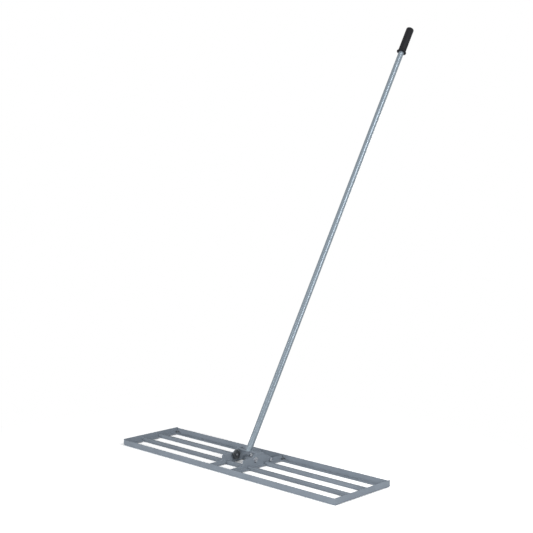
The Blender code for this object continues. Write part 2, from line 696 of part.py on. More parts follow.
def build_joint_screw(axis, tubes):
    """One screw through the upper tube and the sleeve, on the user's side."""
    spot = (0.0, 0.0, LOWER_TUBE_LENGTH + JOINT_SCREW_OFFSET)
    screw_axis = add_empty("joint_screw_axis", axis, spot, (-math.pi / 2, 0.0, 0.0))
    seat = TUBE_RADIUS + SEAT_GAP
    inner_end = TUBE_BORE - SLEEVE_WALL - THREAD_END
    profile = [
        (0.0, seat + JOINT_SCREW_HEAD_HEIGHT),
        (JOINT_SCREW_HEAD_RADIUS * 0.6, seat + JOINT_SCREW_HEAD_HEIGHT),
        (JOINT_SCREW_HEAD_RADIUS, seat + JOINT_SCREW_HEAD_HEIGHT * 0.4),
        (JOINT_SCREW_HEAD_RADIUS, seat),
        (JOINT_SCREW_RADIUS, seat),
        (JOINT_SCREW_RADIUS, inner_end),
        (0.0, inner_end),
    ]
    screw = add_part("joint_screw", profile_mesh("joint_screw", profile, False), ZINC, screw_axis)
    turn_profile(screw, BOLT_SIDES)
    for name in ("upper_tube", "joint_sleeve"):
        drill(
            tubes[name],
            name + "_screw_hole",
            JOINT_SCREW_RADIUS + HOLE_FIT,
            screw_axis,
            (0.0, 0.0, inner_end / 2),
            (0.0, 0.0, 0.0),
            TUBE_DIAMETER,
        )


def build_grip(axis):
    """The rubber grip: a closed round end, a straight barrel and a thin lower flange."""
    bottom = HANDLE_LENGTH - GRIP_LENGTH
    barrel = GRIP_DIAMETER / 2
    flange = GRIP_FLANGE_DIAMETER / 2
    bore = TUBE_RADIUS + SLIDE_FIT
    profile = [(0.0, HANDLE_LENGTH)]
    steps = 4
    for step in range(steps + 1):
        angle = math.pi / 2 * (1 - step / steps)
        profile.append((
            barrel - GRIP_END_RADIUS + GRIP_END_RADIUS * math.cos(angle),
            HANDLE_LENGTH - GRIP_END_RADIUS + GRIP_END_RADIUS * math.sin(angle),
        ))
    profile += [
        (barrel, bottom + GRIP_FLANGE_THICKNESS + GRIP_FILLET),
        (barrel + GRIP_FILLET * 0.3, bottom + GRIP_FLANGE_THICKNESS + GRIP_FILLET * 0.3),
        (flange - GRIP_FLANGE_EASE, bottom + GRIP_FLANGE_THICKNESS),
        (flange, bottom + GRIP_FLANGE_THICKNESS - GRIP_FLANGE_EASE),
        (flange, bottom + GRIP_FLANGE_EASE),
        (flange - GRIP_FLANGE_EASE, bottom),
        (bore, bottom),
        (bore, HANDLE_LENGTH - GRIP_END_WALL),
        (0.0, HANDLE_LENGTH - GRIP_END_WALL),
    ]
    grip = add_part("grip", profile_mesh("grip", profile, False), GRIP_RUBBER, axis)
    turn_profile(grip, TUBE_SIDES)


def build_rake():
    head = add_empty("head_middle", None, (0.0, HEAD_CENTRE_Y, 0.0))
    pivot = add_empty("handle_pivot", head, (0.0, PIVOT_Y, PIVOT_Z))
    foot = (0.0, HANDLE_FOOT_Y - PIVOT_Y, CROSS_BAR_TOP + SEAT_GAP - PIVOT_Z)
    axis = add_empty("handle_axis", pivot, foot, (-HANDLE_LEAN, 0.0, 0.0))
    build_rails(head)
    build_ends(head)
    build_inner_bars(head)
    build_brackets(head, pivot)
    build_flange_bolts(head)
    build_yoke(pivot)
    build_clamps(head, pivot)
    tubes = build_tubes(pivot, axis)
    build_joint_screw(axis, tubes)
    build_grip(axis)


build_rake()
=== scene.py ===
"""Looks for the lawn leveling rake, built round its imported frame.

Metres, +Z up, +X along the head, +Y from the front rail to the rear rail. Each section
is one group of pieces in the order they go together, from the rails to the grip.
"""

import math

import bmesh
import bpy
import numpy as np
from mathutils import Matrix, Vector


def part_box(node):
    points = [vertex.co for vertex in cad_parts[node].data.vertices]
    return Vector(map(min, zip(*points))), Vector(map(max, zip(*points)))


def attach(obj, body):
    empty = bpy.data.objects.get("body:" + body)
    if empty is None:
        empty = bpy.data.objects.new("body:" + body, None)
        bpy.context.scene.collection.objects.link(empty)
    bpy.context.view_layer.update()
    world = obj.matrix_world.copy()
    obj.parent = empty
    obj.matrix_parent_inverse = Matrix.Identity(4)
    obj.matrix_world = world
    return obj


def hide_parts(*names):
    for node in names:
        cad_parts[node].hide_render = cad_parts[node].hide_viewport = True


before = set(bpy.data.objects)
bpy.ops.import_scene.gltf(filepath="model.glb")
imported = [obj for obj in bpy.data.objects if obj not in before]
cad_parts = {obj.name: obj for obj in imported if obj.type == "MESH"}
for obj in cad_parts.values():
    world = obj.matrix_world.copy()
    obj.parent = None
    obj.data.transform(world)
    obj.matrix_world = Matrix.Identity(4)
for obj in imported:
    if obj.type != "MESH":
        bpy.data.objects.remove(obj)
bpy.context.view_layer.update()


# Rails, end pieces and brackets.
# Hot rolled angle and folded plate, sheared, drilled and coped, then coated all over with a
# blue-grey silver powder. The sheared edges get a lighter copy of the coat: a painted highlight.

COAT_COLOUR = (0.230, 0.264, 0.306)
COAT_EDGE_HIGHLIGHT_COLOUR = (0.252, 0.288, 0.330)
COAT_METALLIC = 0.05
COAT_ROUGHNESS = 0.44
COAT_EDGE_ROUGHNESS = 0.38
COAT_SMOOTHER = 0.05
COAT_ROUGHER = 0.06
COAT_GLOSS = 0.0
COAT_TINT = 0.06
COAT_TONE_LOW = 0.45
COAT_TONE_HIGH = 0.90
COAT_PEEL_SCALE = 520.0
COAT_PEEL_ROUGHNESS = 0.45
COAT_PEEL_DEPTH = 0.00004
COAT_FLECK_SCALE = 2600.0
COAT_FLECK_SHARE = 0.35
COAT_DRIFT_SCALE = 14.0
NOISE_LOW = 0.3
NOISE_HIGH = 0.7
MIX_DARK_SOCKET = 6
MIX_LIGHT_SOCKET = 7
MIX_RESULT_SOCKET = 2
SHEARED_EDGE = 0.00045
SHEARED_EDGE_STEPS = 2
SHARP_BEND = math.radians(32.0)
FLAT_BEND = math.radians(1.0)
CAD_SAME_POINT = 0.000002


def add_node(owner, kind, **settings):
    """A shader node of a material or world, with its settings and input values given by name."""
    node = owner.node_tree.nodes.new(kind)
    for name, value in settings.items():
        if hasattr(node, name):
            setattr(node, name, value)
        else:
            node.inputs[name.replace("_", " ").title()].default_value = value
    return node


def join(owner, source, target):
    """Link one socket to another among the nodes of a material or world."""
    owner.node_tree.links.new(source, target)


def start_material(name, colour, metallic, roughness):
    """A new material with its shader's plain values, and the coordinates that ride with a piece."""
    material = bpy.data.materials.new(name)
    material.use_nodes = True
    shader = material.node_tree.nodes["Principled BSDF"]
    shader.inputs["Base Color"].default_value = (*colour, 1.0)
    shader.inputs["Metallic"].default_value = metallic
    shader.inputs["Roughness"].default_value = roughness
    material.diffuse_color = (*colour, 1.0)
    coordinates = add_node(material, "ShaderNodeTexCoord")
    return material, shader, coordinates.outputs["Object"]


def noise(material, place, scale, detail, **settings):
    """The value of a noise whose waves are 1 / scale long, laid out by the given coordinates."""
    node = add_node(material, "ShaderNodeTexNoise", scale=scale, detail=detail, **settings)
    join(material, place, node.inputs["Vector"])
    return node.outputs["Fac"]


def vary(material, value, low, high, target, start=NOISE_LOW, end=NOISE_HIGH):
    """Spread a value running from start to end over low to high, and feed it to a socket."""
    spread = add_node(
        material, "ShaderNodeMapRange", from_min=start, from_max=end, to_min=low, to_max=high
    )
    join(material, value, spread.inputs["Value"])
    join(material, spread.outputs["Result"], target)


def tint(material, shader, colour, amount):
    """Run the base colour from a darker to a lighter shade; gives the socket that moves it."""
    mix = add_node(material, "ShaderNodeMix", data_type="RGBA")
    for socket, shade in ((MIX_DARK_SOCKET, 1 - amount), (MIX_LIGHT_SOCKET, 1 + amount)):
        mix.inputs[socket].default_value = (*[part * shade for part in colour], 1.0)
    join(material, mix.outputs[MIX_RESULT_SOCKET], shader.inputs["Base Color"])
    return mix.inputs["Factor"]


def bump(material, shader, value, depth):
    """Raise the surface by a value from 0 to 1, with its depth in metres."""
    relief = add_node(material, "ShaderNodeBump", distance=depth)
    join(material, value, relief.inputs["Height"])
    join(material, relief.outputs["Normal"], shader.inputs["Normal"])


def powder_coat(name, colour, roughness):
    """Sprayed powder: orange peel of 2 mm waves, a fine metal fleck and a slow drift of tone."""
    material, shader, place = start_material(name, colour, COAT_METALLIC, roughness)
    shader.inputs["Specular IOR Level"].default_value = COAT_GLOSS
    peel = noise(material, place, COAT_PEEL_SCALE, 2.0, roughness=COAT_PEEL_ROUGHNESS)
    fleck = noise(material, place, COAT_FLECK_SCALE, 1.0)
    drift = noise(material, place, COAT_DRIFT_SCALE, 3.0)
    tone = add_node(material, "ShaderNodeMath", operation="MULTIPLY_ADD")
    join(material, fleck, tone.inputs[0])
    tone.inputs[1].default_value = COAT_FLECK_SHARE
    join(material, drift, tone.inputs[2])
    shades = tint(material, shader, colour, COAT_TINT)
    vary(material, tone.outputs["Value"], 0.0, 1.0, shades, COAT_TONE_LOW, COAT_TONE_HIGH)
    smoothest, roughest = roughness - COAT_SMOOTHER, roughness + COAT_ROUGHER
    vary(material, drift, smoothest, roughest, shader.inputs["Roughness"])
    bump(material, shader, peel, COAT_PEEL_DEPTH)
    return material


COAT = powder_coat("silver_powder_coat", COAT_COLOUR, COAT_ROUGHNESS)
# A lighter copy of the coat for the rounded edges: a painted highlight along them.
COAT_EDGE_HIGHLIGHT = powder_coat("silver_powder_coat_edge_highlight", COAT_EDGE_HIGHLIGHT_COLOUR, COAT_EDGE_ROUGHNESS)


def finish_piece(piece, materials, body, nodes):
    """Give a piece its materials, and say what it rides on and which CAD nodes it stands for."""
    for material in materials:
        piece.data.materials.append(material)
    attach(piece, body)
    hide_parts(*nodes)


def ease_sheared_steel(node_name, body):
    """A copy of a drilled steel node, its flat faces made whole and every sheared edge rounded."""
    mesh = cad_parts[node_name].data.copy()
    mesh.name = node_name + "_steel"
    mesh.materials.clear()
    work = bmesh.new()
    work.from_mesh(mesh)
    bmesh.ops.remove_doubles(work, verts=work.verts, dist=CAD_SAME_POINT)
    bmesh.ops.dissolve_limit(work, angle_limit=FLAT_BEND, verts=work.verts, edges=work.edges)
    bmesh.ops.recalc_face_normals(work, faces=work.faces)
    work.to_mesh(mesh)
    work.free()
    if "custom_normal" in mesh.attributes:
        mesh.attributes.remove(mesh.attributes["custom_normal"])
    mesh.shade_smooth()
    piece = bpy.data.objects.new(mesh.name, mesh)
    bpy.context.scene.collection.objects.link(piece)
    bevel = piece.modifiers.new("eased_edges", "BEVEL")
    bevel.width = SHEARED_EDGE
    bevel.segments = SHEARED_EDGE_STEPS
    bevel.limit_method = "ANGLE"
    bevel.angle_limit = SHARP_BEND
    bevel.use_clamp_overlap = False
    bevel.harden_normals = True
    # The rounded edges take the lighter copy of the coat, a painted highlight.
    bevel.material = 1
    finish_piece(piece, (COAT, COAT_EDGE_HIGHLIGHT), body, (node_name,))


for steel_node in (
    "front_rail", "rear_rail", "left_end", "right_end", "left_bracket", "right_bracket"
):
    ease_sheared_steel(steel_node, "head")


# Inner bars.
# Two square tubes of thin drawn steel, cut square and welded by their ends to the uprights
# of the end pieces, then coated with the rest of the head.

BAR_CORNER = 0.0016
BAR_INNER_CORNER = 0.0004
BAR_WALL = 0.0015
CORNER_STEPS = 5
SIDE_HOLD = 0.0003
CREASE = 35.0
SAME_POINT = 0.000001
QUARTER_TURN = math.pi / 2
ALONG_X = np.array([1.0, 0.0, 0.0])
ALONG_Y = np.array([0.0, 1.0, 0.0])
ALONG_Z = np.array([0.0, 0.0, 1.0])


def rounded_rectangle(width, height, radius):
    """Points round a rectangle: each corner a quarter circle about a centre set in by its radius.

    A point just past each end of the quarter, along its tangent, keeps the sides flat.
    """
    turn = np.concatenate([[0.0], np.linspace(0.0, QUARTER_TURN, CORNER_STEPS), [QUARTER_TURN]])
    past = np.zeros(CORNER_STEPS + 2)
    past[0], past[-1] = -SIDE_HOLD, SIDE_HOLD
    corners = []
    for quarter, (x, y) in enumerate(((1, 1), (-1, 1), (-1, -1), (1, -1))):
        angle = turn + quarter * QUARTER_TURN
        corners.append(np.stack([
            x * (width / 2 - radius) + radius * np.cos(angle) - past * np.sin(angle),
            y * (height / 2 - radius) + radius * np.sin(angle) + past * np.cos(angle),
        ], axis=1))
    return np.concatenate(corners)


def quads(rows, columns, close_rows):
    """Faces between neighbouring rings of points, and from the last ring to the first if closed."""
    index = np.arange(rows * columns).reshape(rows, columns)
    if close_rows:
        index = np.concatenate([index, index[:1]], axis=0)
    index = np.concatenate([index, index[:, :1]], axis=1)
    corners = [index[:-1, :-1], index[:-1, 1:], index[1:, 1:], index[1:, :-1]]
    return np.stack(corners, axis=-1).reshape(-1, 4)


def surface(name, grid, close_rows=False, crease=CREASE):
    """A piece whose skin is a grid of points; lines of equal points draw together into a pole."""
    rows, columns = grid.shape[:2]
    mesh = bpy.data.meshes.new(name)
    mesh.from_pydata(grid.reshape(-1, 3), [], quads(rows, columns, close_rows))
    work = bmesh.new()
    work.from_mesh(mesh)
    bmesh.ops.remove_doubles(work, verts=work.verts, dist=SAME_POINT)
    bmesh.ops.recalc_face_normals(work, faces=work.faces)
    work.to_mesh(mesh)
    work.free()
    mesh.shade_smooth()
    mesh.set_sharp_from_angle(angle=math.radians(crease))
    piece = bpy.data.objects.new(name, mesh)
    bpy.context.scene.collection.objects.link(piece)
    return piece


def carry(section, stations, centre):
    """Set a section in Y and Z at each station: centre + station + y along Y + z along Z."""
    flat = section[:, :1] * ALONG_Y + section[:, 1:] * ALONG_Z
    return centre + np.asarray(stations)[:, None, :] + flat[None, :, :]


def draw_square_tube(node_name):
    """Square tube: the outer section carried end to end, then the inner one carried back."""
    low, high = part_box(node_name)
    centre = np.array((low + high) / 2)
    size = high.z - low.z
    bore = size - 2 * BAR_WALL
    half = ALONG_X * (high.x - low.x) / 2
    skin = np.concatenate([
        carry(rounded_rectangle(size, size, BAR_CORNER), [-half, half], centre),
        carry(rounded_rectangle(bore, bore, BAR_INNER_CORNER), [half, -half], centre),
    ])
    return surface(node_name + "_tube", skin, close_rows=True)


for bar_node in ("front_inner_bar", "rear_inner_bar"):
    finish_piece(draw_square_tube(bar_node), (COAT,), "head", (bar_node,))


# Weld beads on the inner bars.
# Short beads of filler run round the top and sides of each bar's end, on the root of the end
# piece, and coated over. They show as a row of overlapping ripples.

BEAD_SIDES = 14
BEAD_CREASE = 80.0
RIPPLE_PITCH = 0.0016
RIPPLE_HEIGHT = 0.16
RIPPLE_STEPS = 6
NEARLY_ALONG_X = 0.9
BAR_BEAD_RADIUS = 0.0019
BAR_BEAD_SINK = 0.35
BAR_BEAD_PAST_END = 0.0009
BAR_BEAD_START = 0.004


def resample(corners, spacing, closed):
    """Points at even spacing along straight runs between corners."""
    corners = np.asarray(corners, float)
    if closed:
        corners = np.concatenate([corners, corners[:1]])
    runs = np.linalg.norm(np.diff(corners, axis=0), axis=1)
    reached = np.concatenate([[0.0], np.cumsum(runs)])
    count = max(4, int(reached[-1] / spacing) + 1)
    along = np.linspace(0.0, reached[-1], count, endpoint=not closed)
    points = np.stack([np.interp(along, reached, corners[:, axis]) for axis in range(3)], axis=1)
    return points, along, reached[-1]


def round_angles(columns):
    """Angles of the points of a ring, once round from 0."""
    return np.linspace(0.0, 2 * math.pi, columns, endpoint=False)


def weld_bead(name, corners, radius, closed=False):
    """A round section on a path; its radius ripples along the path and dies away at open ends."""
    path, along, length = resample(corners, RIPPLE_PITCH / RIPPLE_STEPS, closed)
    if closed:
        heading = np.roll(path, -1, axis=0) - np.roll(path, 1, axis=0)
    else:
        heading = np.gradient(path, axis=0)
    heading /= np.linalg.norm(heading, axis=1)[:, None]
    runs_along_x = np.abs(heading[:, :1]) > NEARLY_ALONG_X
    side = np.cross(heading, np.where(runs_along_x, ALONG_Y[None, :], ALONG_X[None, :]))
    side /= np.linalg.norm(side, axis=1)[:, None]
    up = np.cross(side, heading)
    phase = (along / RIPPLE_PITCH) % 1.0
    swell = radius * (1 - RIPPLE_HEIGHT * phase ** 2)
    if not closed:
        rise = np.clip(np.minimum(along, length - along) / radius, 0.0, 1.0)
        swell = swell * np.sqrt(rise * (2 - rise))
    angle = round_angles(BEAD_SIDES)[None, :, None]
    ring = side[:, None, :] * np.cos(angle) + up[:, None, :] * np.sin(angle)
    skin = path[:, None, :] + swell[:, None, None] * ring
    return surface(name, skin, close_rows=closed, crease=BEAD_CREASE)


def weld_bar_end(bar_node, side_name, side):
    """A bead up one side of the bar's end, over its top and down the other side."""
    low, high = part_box(bar_node)
    x = side * (high.x + BAR_BEAD_PAST_END)
    sink = BAR_BEAD_RADIUS * BAR_BEAD_SINK
    corners = (
        (x, low.y + sink, low.z + BAR_BEAD_START),
        (x, low.y + sink, high.z - sink),
        (x, high.y - sink, high.z - sink),
        (x, high.y - sink, low.z + BAR_BEAD_START),
    )
    bead = weld_bead(bar_node + "_" + side_name + "_weld", corners, BAR_BEAD_RADIUS)
    finish_piece(bead, (COAT,), "head", ())


SIDES = (("left", -1), ("right", 1))

for bar_node in ("front_inner_bar", "rear_inner_bar"):
    for side_name, side in SIDES:
        weld_bar_end(bar_node, side_name, side)


# Sunk bolts and nuts at the corners and bracket feet.
# M6 countersunk bolts with a hexagon socket, zinc plated, up through the rail's sole and
# the foot that lies on it, each with a plain nut on top. Their zinc is a darker copy of the
# bright zinc, painted shade.

ZINC_COLOUR = (0.42, 0.44, 0.47)
ZINC_ROUGHNESS = 0.30
# A darker copy of the zinc colour: painted shade for the sunk bolts and nuts.
SHADED_ZINC_COLOUR = (0.17, 0.18, 0.195)
SHADED_ZINC_ROUGHNESS = 0.45
ZINC_SMOOTHER = 0.07
ZINC_ROUGHER = 0.08
ZINC_TINT = 0.08
ZINC_CLOUD_SCALE = 160.0
ZINC_GRAIN_SCALE = 3200.0
ZINC_GRAIN_DEPTH = 0.000008
BOLT_COLUMNS = 48
BOLT_CREASE = 28.0
THREAD_ROWS_PER_PITCH = 7
THREAD_CLEARANCE = 0.00005
HEX_CHAMFER_ANGLE = math.radians(30.0)
HEX_FACE_SHARE = 0.965
HEX_SEAT_SHARE = 0.985
HEX_SEAT_EASE = 0.00015
EDGE_BREAK = 0.0001
NUT_COUNTERSINK = 0.1
M6_RADIUS = 0.003
M6_PITCH = 0.001
M6_THREAD_DEPTH = 0.00032
M6_THREAD_LENGTH = 0.004
M6_TIP_LENGTH = 0.0005
M6_TIP_SHARE = 0.82
M6_HEAD_RADIUS = 0.0058
M6_HEAD_LAND = 0.0004
M6_HEAD_EASE = 0.0002
M6_SOCKET_WIDTH = 0.004
M6_SOCKET_DEPTH = 0.0016
M6_SOCKET_TAPER = 0.96
M6_SOCKET_POINT = 0.0004
M6_NUT_WIDTH = 0.010


def zinc_plate(name, colour, roughness):
    """Zinc plate: metal with a fine grain of 0.3 mm and a faint cloud in its gloss."""
    material, shader, place = start_material(name, colour, 1.0, roughness)
    cloud = noise(material, place, ZINC_CLOUD_SCALE, 3.0)
    grain = noise(material, place, ZINC_GRAIN_SCALE, 2.0)
    vary(material, cloud, 0.0, 1.0, tint(material, shader, colour, ZINC_TINT))
    smoothest, roughest = roughness - ZINC_SMOOTHER, roughness + ZINC_ROUGHER
    vary(material, cloud, smoothest, roughest, shader.inputs["Roughness"])
    bump(material, shader, grain, ZINC_GRAIN_DEPTH)
    return material


ZINC = zinc_plate("bright_zinc", ZINC_COLOUR, ZINC_ROUGHNESS)
# The darker copy of the zinc, painted shade for the sunk bolts and nuts.
SHADED_ZINC = zinc_plate("shaded_zinc", SHADED_ZINC_COLOUR, SHADED_ZINC_ROUGHNESS)


def hexagon(width):
    """Radius of a hexagon round a bolt: half its width over the cosine of the turn from a flat."""
    return width / 2 / np.cos(round_angles(BOLT_COLUMNS) % (math.pi / 3) - math.pi / 6)


def turned(rows, seat, axis, side, up, columns):
    """Rows of (radius, height) round an axis: seat + height along it + radius from side to up."""
    angle = round_angles(columns)
    radius = np.stack([np.broadcast_to(row[0], angle.shape) for row in rows])
    height = np.stack([np.broadcast_to(row[1], angle.shape) for row in rows])
    spoke = side * np.cos(angle)[:, None] + up * np.sin(angle)[:, None]
    return np.asarray(seat) + height[:, :, None] * axis + radius[:, :, None] * spoke[None, :, :]


def turned_fastener(name, rows, seat, out, close_rows=False, crease=BOLT_CREASE):
    """A piece turned about a bolt's axis, which points out from its seat."""
    up = ALONG_Y if abs(out[2]) > 0.5 else ALONG_Z
    grid = turned(rows, seat, out, np.cross(up, out), up, BOLT_COLUMNS)
    return surface(name, grid, close_rows=close_rows, crease=crease)


def thread_rows(radius, depth, pitch, start, end):
    """Screw thread: the radius dips by a cosine that climbs a pitch a turn, fading at its ends."""
    angle = round_angles(BOLT_COLUMNS)
    count = max(3, int(abs(end - start) / pitch * THREAD_ROWS_PER_PITCH))
    rows = []
    for height in np.linspace(start, end, count):
        fade = np.clip(min(abs(height - start), abs(height - end)) / (pitch / 2), 0.0, 1.0)
        dip = 0.5 - 0.5 * np.cos(2 * math.pi * height / pitch - angle)
        rows.append((radius - depth * fade * dip, height))
    return rows


def chamfered_hexagon(width, height, low_chamfer):
    """Rows up the sides of a hexagon whose corners are turned off at a cone of 30 degrees."""
    flats = hexagon(width)
    cut = (flats - width / 2) * math.tan(HEX_CHAMFER_ANGLE)
    inner = width / 2 * HEX_FACE_SHARE
    if low_chamfer:
        rows = [(inner, 0.0), (flats, cut + EDGE_BREAK)]
    else:
        rows = [(flats * HEX_SEAT_SHARE, 0.0), (flats, HEX_SEAT_EASE)]
    return rows + [(flats, height - cut - EDGE_BREAK), (inner, height)]


def sunk_bolt(name, low, high):
    """Socket floor, socket wall, head, cone, shank and a threaded end with a turned tip."""
    socket = hexagon(M6_SOCKET_WIDTH)
    length = high.z - low.z
    cone = M6_HEAD_RADIUS - M6_RADIUS
    rows = [
        (0.0, M6_SOCKET_DEPTH + M6_SOCKET_POINT),
        (socket * M6_SOCKET_TAPER, M6_SOCKET_DEPTH),
        (socket, EDGE_BREAK),
        (socket + EDGE_BREAK, 0.0),
        (M6_HEAD_RADIUS - M6_HEAD_EASE, 0.0),
        (M6_HEAD_RADIUS, M6_HEAD_LAND / 2),
        (M6_HEAD_RADIUS, M6_HEAD_LAND),
        (M6_RADIUS, M6_HEAD_LAND + cone),
    ]
    rows += thread_rows(
        M6_RADIUS, M6_THREAD_DEPTH, M6_PITCH, length - M6_THREAD_LENGTH, length - M6_TIP_LENGTH
    )
    rows += [(M6_RADIUS * M6_TIP_SHARE, length), (0.0, length)]
    seat = ((low.x + high.x) / 2, (low.y + high.y) / 2, low.z)
    return turned_fastener(name, rows, seat, ALONG_Z)


def plain_nut(name, width, thickness, bore, seat, out):
    """Hexagon nut, chamfered on both faces, with a countersunk bore; its rows close in a loop."""
    sink = bore * NUT_COUNTERSINK
    rows = chamfered_hexagon(width, thickness, True)
    rows += [(bore + sink, thickness), (bore, thickness - sink), (bore, sink), (bore + sink, 0.0)]
    return turned_fastener(name, rows, seat, out, close_rows=True)


def fit_sunk_bolt(label):
    """A bolt up from the lowest face of its node, and the nut on its threaded end."""
    low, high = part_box(label + "_bolt")
    bolt = sunk_bolt(label + "_sunk_bolt", low, high)
    finish_piece(bolt, (SHADED_ZINC,), "head", (label + "_bolt",))
    low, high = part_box(label + "_nut")
    seat = ((low.x + high.x) / 2, (low.y + high.y) / 2, low.z)
    bore = M6_RADIUS + THREAD_CLEARANCE
    nut = plain_nut(label + "_plain_nut", M6_NUT_WIDTH, high.z - low.z, bore, seat, ALONG_Z)
    finish_piece(nut, (SHADED_ZINC,), "head", (label + "_nut",))


for end_name in ("front", "rear"):
    for side_name in ("left", "right"):
        for place_name in ("corner", "bracket"):
            fit_sunk_bolt("_".join((end_name, side_name, place_name)))


# Yoke plates and cross bar.
# Two cut plates inside the brackets, drilled for the pivot and the clamp, with a flat bar welded
# between them that carries the handle. Coated as one piece.

CROSS_BAR_CORNER = 0.0011
YOKE_BEAD_RADIUS = 0.0017
YOKE_BEAD_SINK = 0.3

for steel_node in ("left_yoke_plate", "right_yoke_plate"):
    ease_sheared_steel(steel_node, "handle")


def flat_bar(node_name):
    """Solid bar: its rounded section carried end to end, and drawn to a point in each end face."""
    low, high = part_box(node_name)
    centre = np.array((low + high) / 2)
    half = ALONG_X * (high.x - low.x) / 2
    section = rounded_rectangle(high.y - low.y, high.z - low.z, CROSS_BAR_CORNER)
    skin = carry(section, [-half, half], centre)
    ends = [np.broadcast_to(centre + end * half, skin[:1].shape) for end in (-1, 1)]
    return surface(node_name + "_flat", np.concatenate([ends[0], skin, ends[1]]))


finish_piece(flat_bar("cross_bar"), (COAT,), "handle", ("cross_bar",))
bar_low, bar_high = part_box("cross_bar")

for side_name, side in SIDES:
    sink = YOKE_BEAD_RADIUS * YOKE_BEAD_SINK
    x = side * (bar_high.x - sink)
    loop = (
        (x, bar_low.y + sink, bar_low.z + sink),
        (x, bar_high.y - sink, bar_low.z + sink),
        (x, bar_high.y - sink, bar_high.z - sink),
        (x, bar_low.y + sink, bar_high.z - sink),
    )
    bead = weld_bead("cross_bar_" + side_name + "_weld", loop, YOKE_BEAD_RADIUS, closed=True)
    finish_piece(bead, (COAT,), "handle", ())


# Pivot and clamp bolts.
# M8 hexagon bolts and nuts, bright zinc plated. The rear pair is the yoke's pivot; the front pair
# runs in the brackets' arc slots, with a washer under each head.

M8_RADIUS = 0.004
M8_PITCH = 0.00125
M8_THREAD_DEPTH = 0.0004
M8_THREAD_LENGTH = 0.012
M8_TIP_LENGTH = 0.0008
M8_TIP_SHARE = 0.8
M8_HEX_WIDTH = 0.013
M8_HEAD_HEIGHT = 0.0053
WASHER_EASE = 0.0003
WASHER_CLEARANCE = 0.0002
WASHER_CREASE = 50.0


def hex_bolt(name, low, high, side):
    """From the tip: turned end, thread, shank, the head's seat, its six sides and its face."""
    length = high.x - low.x - M8_HEAD_HEIGHT
    rows = [(0.0, -length), (M8_RADIUS * M8_TIP_SHARE, -length)]
    rows += thread_rows(
        M8_RADIUS, M8_THREAD_DEPTH, M8_PITCH, M8_TIP_LENGTH - length, M8_THREAD_LENGTH - length
    )
    rows += [(M8_RADIUS, 0.0)]
    rows += chamfered_hexagon(M8_HEX_WIDTH, M8_HEAD_HEIGHT, False)
    rows += [(0.0, M8_HEAD_HEIGHT)]
    outer = high.x if side > 0 else low.x
    seat = (outer - side * M8_HEAD_HEIGHT, (low.y + high.y) / 2, (low.z + high.z) / 2)
    return turned_fastener(name, rows, seat, ALONG_X * side)


def flat_washer(name, low, high):
    """Punched ring with its edges eased, set along X."""
    thickness = high.x - low.x
    outer = (high.z - low.z) / 2
    inner = M8_RADIUS + WASHER_CLEARANCE
    rows = [
        (inner, WASHER_EASE),
        (inner + WASHER_EASE, 0.0),
        (outer - WASHER_EASE, 0.0),
        (outer, WASHER_EASE),
        (outer, thickness - WASHER_EASE),
        (outer - WASHER_EASE, thickness),
        (inner + WASHER_EASE, thickness),
        (inner, thickness - WASHER_EASE),
    ]
    seat = (low.x, (low.y + high.y) / 2, (low.z + high.z) / 2)
    return turned_fastener(name, rows, seat, ALONG_X, close_rows=True, crease=WASHER_CREASE)


def fit_nut(node_name, side, body):
    """A nut from the inner face of its node outwards."""
    low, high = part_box(node_name)
    inner = low.x if side > 0 else high.x
    seat = (inner, (low.y + high.y) / 2, (low.z + high.z) / 2)
    bore = M8_RADIUS + THREAD_CLEARANCE
    thickness = high.x - low.x
    nut = plain_nut(node_name + "_hexagon", M8_HEX_WIDTH, thickness, bore, seat, ALONG_X * side)
    finish_piece(nut, (ZINC,), body, (node_name,))


for side_name, side in SIDES:
    for role, body in (("pivot", "head"), ("clamp", "handle")):
        bolt_node = side_name + "_" + role + "_bolt"
        low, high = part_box(bolt_node)
        bolt = hex_bolt(bolt_node + "_hexagon", low, high, side)
        finish_piece(bolt, (ZINC,), body, (bolt_node,))
    washer_node = side_name + "_clamp_washer"
    low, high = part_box(washer_node)
    washer = flat_washer(washer_node + "_ring", low, high)
    finish_piece(washer, (ZINC,), "handle", (washer_node,))
    fit_nut(side_name + "_pivot_nut", side, "head")
fit_nut("right_clamp_nut", 1, "handle")


# Clamp knob.
# A star knob of five lobes moulded in black plastic, turned by hand on the left clamp bolt's end
# to lock the yoke. Its hub bears on the yoke plate and the bolt's bright end shows in its middle.

KNOB_COLOUR = (0.030, 0.035, 0.040)
KNOB_ROUGHNESS = 0.46
KNOB_SMOOTHEST = 0.38
KNOB_ROUGHEST = 0.54
KNOB_TINT = 0.15
KNOB_GRAIN_SCALE = 2400.0
KNOB_GRAIN_DEPTH = 0.00002
KNOB_CLOUD_SCALE = 90.0
KNOB_RADIUS = 0.0205
KNOB_LOBE_DEPTH = 0.0035
KNOB_LOBES = 5
KNOB_COLUMNS = 160
KNOB_CREASE = 40.0
KNOB_HUB_RADIUS = 0.0095
KNOB_HUB_STAND = 0.0014
KNOB_HUB_EASE = 0.0004
KNOB_HUB_FACE_INSET = 0.0005
KNOB_BORE = 0.00408
KNOB_BORE_EASE = 0.0005
KNOB_ROUNDING = 0.0026
KNOB_ROUNDING_STEPS = 13
KNOB_DISH = 0.0011
KNOB_DISH_START = 0.80
KNOB_DISH_START_DEPTH = 0.35
KNOB_DISH_FLOOR = 0.62
KNOB_BOSS_RADIUS = 0.0072
KNOB_BOSS_FOOT = 0.0010
KNOB_BOSS_SHOULDER_DEPTH = 0.6
KNOB_BOSS_FACE_INSET = 0.0005
KNOB_BOSS_FACE_DROP = 0.0002
KNOB_BOSS_BORE_EASE = 0.0006
KNOB_BOSS_BORE_DROP = 0.0008


